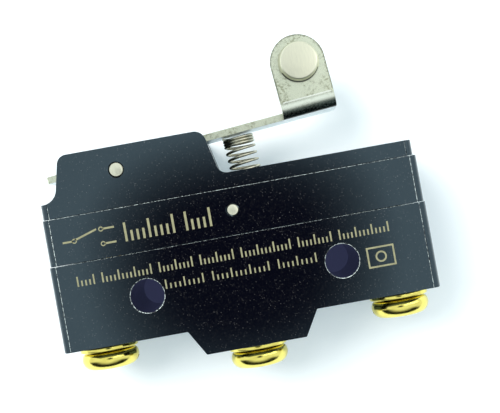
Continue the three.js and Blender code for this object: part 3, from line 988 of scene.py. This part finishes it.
def axle_shape():
    """A tall tapered head with a flat face, a shank through the ear and roller, and a riveted tail."""
    seat = EAR_FRONT + 0.02
    tail_seat = ROLLER_BACK - 0.1
    head = 2.7
    face = 2.32
    height = 1.45
    shank = AXLE_RADIUS
    tail = 1.85
    profile = [
        (0, tail_seat - 0.6),
        (tail - 0.6, tail_seat - 0.55),
        (tail - 0.2, tail_seat - 0.4),
        (tail, tail_seat - 0.15),
        (tail, tail_seat),
        (shank, tail_seat),
        (shank, seat),
        (head - 0.05, seat),
        (head, seat + 0.08),
        (head - 0.02, seat + 0.3),
        (head - 0.1, seat + 0.6),
        (face + 0.14, seat + height - 0.22),
        (face + 0.08, seat + height - 0.07),
        (face, seat + height - 0.015),
        (face - 0.12, seat + height),
        (0, seat + height),
    ]
    axle = turned(profile, (AXLE[0], AXLE[1], 0), steps=96)
    axle.data.materials.append(PIN_STEEL)
    axle.data.materials.append(RIVET_PAINTED_SHADE)
    # The lower side of the head, from the seat up, gets painted shade.
    painted_shade_top = seat + 0.75
    return use_second_material(axle, lambda centre, normal: seat < centre.z < painted_shade_top and normal.y < -0.4)


def lever_parts():
    piece(lever_shape(), "lever_strip", "lever", LEVER_STEEL, "lever_steel", "roller_lever")
    piece(roller_shape(), "roller_wheel", "roller", ROLLER_STEEL, "roller_steel", "roller")
    piece(axle_shape(), "axle_rivet", "lever", PIN_STEEL, "pin_steel", "roller_axle")


# ---------------------------------------------------------------- the return spring


def tube(path, radius):
    """A closed round tube along a path of points."""
    sides = 12
    points = []
    up = Vector((0, 1, 0))
    for i, here in enumerate(path):
        ahead = path[min(i + 1, len(path) - 1)]
        behind = path[max(i - 1, 0)]
        along = (ahead - behind).normalized()
        side = along.cross(up).normalized()
        top = side.cross(along)
        for k in range(sides):
            angle = 2 * math.pi * k / sides
            points.append(here + radius * (math.cos(angle) * side + math.sin(angle) * top))
    rings = len(path)
    faces = [
        (i * sides + k, i * sides + (k + 1) % sides, (i + 1) * sides + (k + 1) % sides, (i + 1) * sides + k)
        for i in range(rings - 1)
        for k in range(sides)
    ]
    faces.append(tuple(range(sides))[::-1])
    faces.append(tuple(range((rings - 1) * sides, rings * sides)))
    return outward(from_faces("tube", points, faces))


def spring_shape():
    """A right-handed coil, open below and closed under the lever, that leans with it."""
    closed_turns = 3
    open_turns = 4.7
    closed_pitch = 2 * SPRING_WIRE + 0.005
    closed_start = SPRING_HEIGHT - closed_turns * closed_pitch
    turns = closed_turns + open_turns
    per_turn = 40
    path = []
    for k in range(int(turns * per_turn) + 1):
        turn = k / per_turn
        lower = min(turn / open_turns, 1)
        upper = max(turn - open_turns, 0)
        along = closed_start * lower + closed_pitch * upper
        angle = 2 * math.pi * (turn - turns + 0.5)
        across = SPRING_MEAN * math.cos(angle)
        x = across * math.cos(SPRING_LEAN) - along * math.sin(SPRING_LEAN)
        y = across * math.sin(SPRING_LEAN) + along * math.cos(SPRING_LEAN)
        path.append(Vector((SPRING_X + x, SPRING_BOTTOM + y, MID - SPRING_MEAN * math.sin(angle))))
    return tube(path, SPRING_WIRE)


def spring():
    coil = piece(spring_shape(), "return_coil", "housing", SPRING_STEEL, "spring_steel", "return_spring")
    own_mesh(coil)


# ---------------------------------------------------------------- terminals and screws


def screw_shape(x, seat):
    """A brass screw with a round head that bulges at the side and a cross-slotted underside."""
    head = 3.9
    gap = 1.2
    bottom = 3.56
    shank = 1.92
    reach = 6.0
    profile = [
        (0, -bottom),
        (head - 1.35, -bottom + 0.01),
        (head - 0.85, -bottom + 0.12),
        (head - 0.45, -bottom + 0.38),
        (head - 0.16, -bottom + 0.78),
        (head - 0.02, -bottom + 1.2),
        (head, -bottom + 1.5),
        (head - 0.07, -gap - 0.5),
        (head - 0.2, -gap - 0.22),
        (head - 0.42, -gap - 0.05),
        (head - 0.7, -gap),
        (shank + 0.25, -gap),
        (shank, -gap + 0.12),
        (shank, reach - 0.4),
        (shank - 0.4, reach),
        (0, reach),
    ]
    screw = turned(profile, (x, seat, MID), "Y", steps=96)
    half_slot = 0.55
    cross_reach = 2.3
    depth = 1.1
    y = (seat - bottom - 1, seat - bottom + depth)
    slot = block((x - head - 1, x + head + 1), y, (MID - half_slot, MID + half_slot))
    cross = block((x - half_slot, x + half_slot), y, (MID - cross_reach, MID + cross_reach))
    return cut(screw, slot, cross)


def washer_shape(x, seat):
    flange = 0.48  # the terminal's flange fills this gap under the seat
    top = seat - flange
    radius = 3.95
    bore = 2.1
    thick = 0.56
    ring = rod(radius, (x, 0, MID), top - thick, top, "Y", 96)
    bevel(ring, 0.12, 3, 40)
    return cut(ring, rod(bore, (x, 0, MID), top - 1, top + 1, "Y", 48))


def screws():
    for name, (x, seat) in POLES.items():
        screw = screw_shape(x, seat)
        washer = washer_shape(x, seat)
        piece(screw, "head_screw_" + name, "housing", BRASS, "screw_brass", "screw_" + name)
        piece(washer, "flat_washer_" + name, "housing", BRASS, "screw_brass", "washer_" + name)


def inner_nodes():
    """The CAD pieces inside the mouldings keep their shape and get their finish."""
    looks = {
        "plunger": PLUNGER,
        "snap_blade": COPPER,
        "blade_rivet": TERMINAL,
        "moving_contact": SILVER,
        "fixed_contact_no": SILVER,
        "fixed_contact_nc": SILVER,
        "terminal_common": TERMINAL,
        "terminal_no": TERMINAL,
        "terminal_nc": TERMINAL,
    }
    for node, material in looks.items():
        mesh = frame["nodes"][node].data
        mesh.materials.clear()
        mesh.materials.append(material)


# ---------------------------------------------------------------- stage, light and camera


def glow(name, color, strength):
    """A material that only shines, with its nodes, its emission node and its output node."""
    material = bpy.data.materials.new(name)
    material.use_nodes = True
    nodes = Nodes(material.node_tree)
    nodes.tree.nodes.clear()
    light = nodes.add("ShaderNodeEmission")
    light.inputs["Color"].default_value = (*color, 1)
    light.inputs["Strength"].default_value = strength
    out = nodes.add("ShaderNodeOutputMaterial")
    nodes.link(light.outputs["Emission"], out.inputs["Surface"])
    return material, nodes, light, out


def only_reflected(obj):
    """Keeps a stage card out of everything but mirror-like reflections."""
    obj.visible_camera = False
    obj.visible_diffuse = False
    obj.visible_shadow = False


def floor():
    """A white table that glows a little, bluish, so its shadows stay pale. Under both mounting holes it is
    painted a dark navy shade.
    """
    size = 3.0
    points = [(-size, -size, 0), (size, -size, 0), (size, size, 0), (-size, size, 0)]
    plane = from_faces("floor", points, [(0, 1, 2, 3)])
    s = Surface("floor_white", (0.8, 0.8, 0.8), 0.8)
    mirrored = s.add("ShaderNodeVectorMath", operation="ABSOLUTE")
    s.link(s.space.outputs["Vector"], mirrored.inputs[0])
    away = s.add("ShaderNodeVectorMath", operation="DISTANCE")
    s.link(mirrored.outputs["Vector"], away.inputs[0])
    away.inputs[1].default_value = (HOLE_X, 0, 0)
    dark_radius = 3.0
    outside = s.span(away.outputs["Value"], dark_radius, dark_radius + 0.4)
    # Navy, with almost no glow, under the holes: painted shade.
    s.color(s.blend(outside, (0.16, 0.15, 0.42), (0.80, 0.80, 0.80)))
    s.link(s.blend(outside, (0.022, 0.026, 0.055), (0.20, 0.27, 0.30)), s.shader.inputs["Emission Color"])
    s.shader.inputs["Emission Strength"].default_value = 1.0
    s.shader.inputs["Specular IOR Level"].default_value = 0.1
    plane.data.materials.append(s.material)


def square_card(name, place, half_width, half_height):
    """A flat card at a place, facing the origin."""
    card = from_faces(name, [(-1, -1, 0), (1, -1, 0), (1, 1, 0), (-1, 1, 0)], [(0, 1, 2, 3)])
    card.location = place
    card.scale = (half_width, half_height, 1)
    card.rotation_euler = Vector(place).to_track_quat("Z", "Y").to_euler()
    return card


def overhead_card():
    """A dark card over the switch that only its glossy faces see, fading out at its edges."""
    half_width = 0.058
    half_above = 0.045
    half_below = 0.056
    squareness = 2.5
    fade_from = 0.42
    card = square_card("dark_card", (-0.0044, -0.0017, 0.267), half_width, half_below)
    card.rotation_euler = (0, 0, 0)
    material, nodes, black, out = glow("card_black", (0.01, 0.01, 0.02), 1.0)
    where = nodes.add("ShaderNodeTexCoord")
    axes = nodes.add("ShaderNodeSeparateXYZ")
    nodes.link(where.outputs["Object"], axes.inputs["Vector"])
    across, up = axes.outputs[0], axes.outputs[1]
    above = nodes.product(up, half_below / half_above)
    height = nodes.math("MAXIMUM", above, nodes.product(up, -1))
    beside = nodes.math("POWER", nodes.math("ABSOLUTE", across), squareness)
    total = nodes.math("ADD", beside, nodes.math("POWER", height, squareness))
    edge = nodes.span(nodes.math("POWER", total, 1 / squareness), fade_from, 1.0)
    fade = nodes.math("POWER", edge, 2)
    clear = nodes.add("ShaderNodeBsdfTransparent")
    mix = nodes.add("ShaderNodeMixShader")
    nodes.link(fade, mix.inputs["Fac"])
    nodes.link(black.outputs["Emission"], mix.inputs[1])
    nodes.link(clear.outputs["BSDF"], mix.inputs[2])
    nodes.link(mix.outputs["Shader"], out.inputs["Surface"])
    card.data.materials.append(material)
    only_reflected(card)


def bright_panels():
    """Two tall panels on the roller side, whose reflections lighten the brass and the steel."""
    material = glow("panel_glow", (1.0, 1.0, 0.96), 3.2)[0]
    distance = 0.5
    half_height = 0.15
    for name, tilt, half_width in (("panel_high", 30, 0.035), ("panel_low", 56, 0.045)):
        angle = math.radians(tilt)
        place = (distance * math.sin(angle), 0.1, distance * math.cos(angle))
        card = square_card(name, place, half_width, half_height)
        card.data.materials.append(material)
        only_reflected(card)


def area_light(name, place, target, size, power, color):
    data = bpy.data.lights.new(name, "AREA")
    data.shape = "DISK"
    data.size = size
    data.energy = power
    data.color = color
    light = bpy.data.objects.new(name, data)
    bpy.context.scene.collection.objects.link(light)
    light.location = place
    light.rotation_euler = (Vector(place) - Vector(target)).to_track_quat("Z", "Y").to_euler()
    light.visible_camera = False
    return light


def lights():
    """A bright sky that darkens towards the horizon on the terminal side, and one soft key light.

    The camera itself sees the sky bright all round.
    """
    world = bpy.context.scene.world or bpy.data.worlds.new("studio")
    bpy.context.scene.world = world
    world.use_nodes = True
    nodes = Nodes(world.node_tree)
    background = nodes.tree.nodes["Background"]
    where = nodes.add("ShaderNodeTexCoord").outputs["Generated"]

    def ramp(axis, low, high):
        along = nodes.add("ShaderNodeVectorMath", operation="DOT_PRODUCT")
        nodes.link(where, along.inputs[0])
        along.inputs[1].default_value = axis
        return nodes.span(along.outputs["Value"], low, high, shape="SMOOTHSTEP")

    low_down = ramp((0, 0, -1), -math.sin(math.radians(60)), -math.sin(math.radians(22)))
    towards = ramp((-0.177, -0.984, 0), 0.2, 0.55)
    seen = nodes.add("ShaderNodeLightPath").outputs["Is Camera Ray"]
    dark = nodes.product(low_down, towards, nodes.math("SUBTRACT", 1, seen))
    nodes.link(nodes.blend(dark, (1.04, 1.12, 1.14), (0.02, 0.025, 0.02)), background.inputs["Color"])
    background.inputs["Strength"].default_value = 1.0
    key = area_light("key", (-0.30, 0.25, 0.6), (0, 0, 0), 0.4, 4.0, (1.0, 0.99, 0.97))
    key.visible_glossy = False


def camera():
    """The view from straight over the switch, turned a little and shifted in its frame."""
    data = bpy.data.cameras.new("photo_view")
    view = bpy.data.objects.new("photo_view", data)
    bpy.context.scene.collection.objects.link(view)
    view.location = (2.454 * MM, 6.544 * MM, 155.8 * MM)
    view.rotation_euler = (0, 0, math.radians(-10.2))
    data.sensor_width = 36
    data.lens = 77.67
    data.shift_x = -0.0096
    data.shift_y = 0.0364
    data.clip_start = 0.005
    data.clip_end = 10
    bpy.context.scene.camera = view


camera()
floor()
overhead_card()
bright_panels()
lights()
mouldings()
marks()
pins()
lever_parts()
spring()
screws()
inner_nodes()
bpy.context.scene.view_settings.view_transform = "Standard"

bpy.context.view_layer.update()
